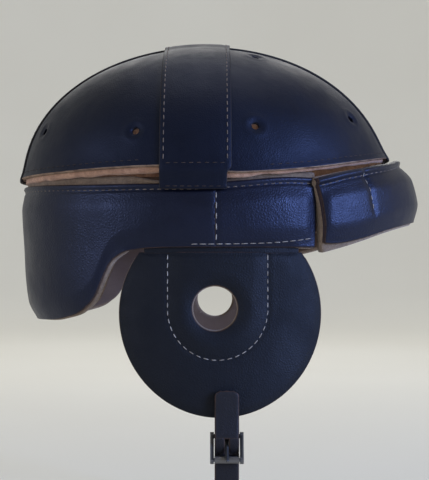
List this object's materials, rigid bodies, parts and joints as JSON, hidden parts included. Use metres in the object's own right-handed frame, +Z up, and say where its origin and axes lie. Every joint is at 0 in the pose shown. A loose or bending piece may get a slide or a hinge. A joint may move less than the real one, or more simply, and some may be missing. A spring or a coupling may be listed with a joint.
{
  "type": "american football helmet",
  "caption": "Early leather football helmet: domed crown with crossed straps, padded side band with nape guard, forehead pad, round ear flaps with ear holes, and a buckled chin strap.",
  "frame": {"origin": "centre of the head opening, in the plane of the side band's lower edge", "axes": "+X to the wearer's front, +Y to the wearer's left, +Z up through the crown"},
  "size_m": [0.2446, 0.1878, 0.2996],
  "materials": {
    "black_leather": "semi-gloss, grained",
    "tan_leather": "natural, matt",
    "felt": "wool felt",
    "webbing": "woven cotton",
    "blackened_steel": "black enamel, worn"
  },
  "bodies": {
    "helmet": {"crown_panel_front_right": "black_leather", "crown_panel_front_left": "black_leather", "crown_panel_rear_right": "black_leather", "crown_panel_rear_left": "black_leather", "crown_felt_liner": "felt", "crown_fore_aft_strap": "black_leather", "crown_cross_strap": "black_leather", "webbing_fore_aft": "webbing", "webbing_cross": "webbing", "sweatband": "tan_leather", "ear_flap_hinge_right": "black_leather", "ear_flap_hinge_left": "black_leather", "rear_band_cover": "black_leather", "rear_band_felt": "felt", "rear_band_lining": "tan_leather", "side_band_cover_right": "black_leather", "side_band_felt_right": "felt", "side_band_lining_right": "tan_leather", "side_band_cover_left": "black_leather", "side_band_felt_left": "felt", "side_band_lining_left": "tan_leather", "forehead_pad_cover": "black_leather", "forehead_pad_felt": "felt", "forehead_pad_lining": "tan_leather", "chin_strap": "black_leather"},
    "ear_flap_right": {"ear_flap_cover_right": "black_leather", "ear_flap_felt_right": "felt", "ear_flap_lining_right": "tan_leather", "buckle_tab": "black_leather"},
    "ear_flap_left": {"ear_flap_cover_left": "black_leather", "ear_flap_felt_left": "felt", "ear_flap_lining_left": "tan_leather"},
    "buckle_frame": {"buckle_frame": "blackened_steel"},
    "buckle_prong": {"buckle_prong": "blackened_steel"},
    "buckle_roller": {"buckle_roller": "blackened_steel"}
  },
  "joints": [
    {"name": "ear_flap_right_swing", "type": "hinge", "parent": "helmet", "child": "ear_flap_right", "pos_m": [0, -0.0845, 0], "axis": [-1, 0, 0], "range_deg": [-8, 35], "stiffness_Nm_per_rad": 0.15, "deforming": ["ear_flap_hinge_right", "chin_strap"]},
    {"name": "ear_flap_left_swing", "type": "hinge", "parent": "helmet", "child": "ear_flap_left", "pos_m": [0, 0.0845, 0], "axis": [1, 0, 0], "range_deg": [-8, 35], "stiffness_Nm_per_rad": 0.15, "deforming": ["ear_flap_hinge_left", "chin_strap"]},
    {"name": "buckle_frame_pivot", "type": "hinge", "parent": "ear_flap_right", "child": "buckle_frame", "pos_m": [0.011, -0.08655, -0.102], "axis": [-1, 0, 0], "range_deg": [0, 35], "deforming": ["chin_strap"]},
    {"name": "buckle_prong_pivot", "type": "hinge", "parent": "buckle_frame", "child": "buckle_prong", "pos_m": [0.011, -0.08655, -0.102], "axis": [-1, 0, 0], "range_deg": [0, 60], "deforming": ["chin_strap"]},
    {"name": "buckle_roller_spin", "type": "hinge", "parent": "buckle_frame", "child": "buckle_roller", "pos_m": [0.011, -0.09065, -0.114], "axis": [1, 0, 0], "continuous": true}
  ]
}
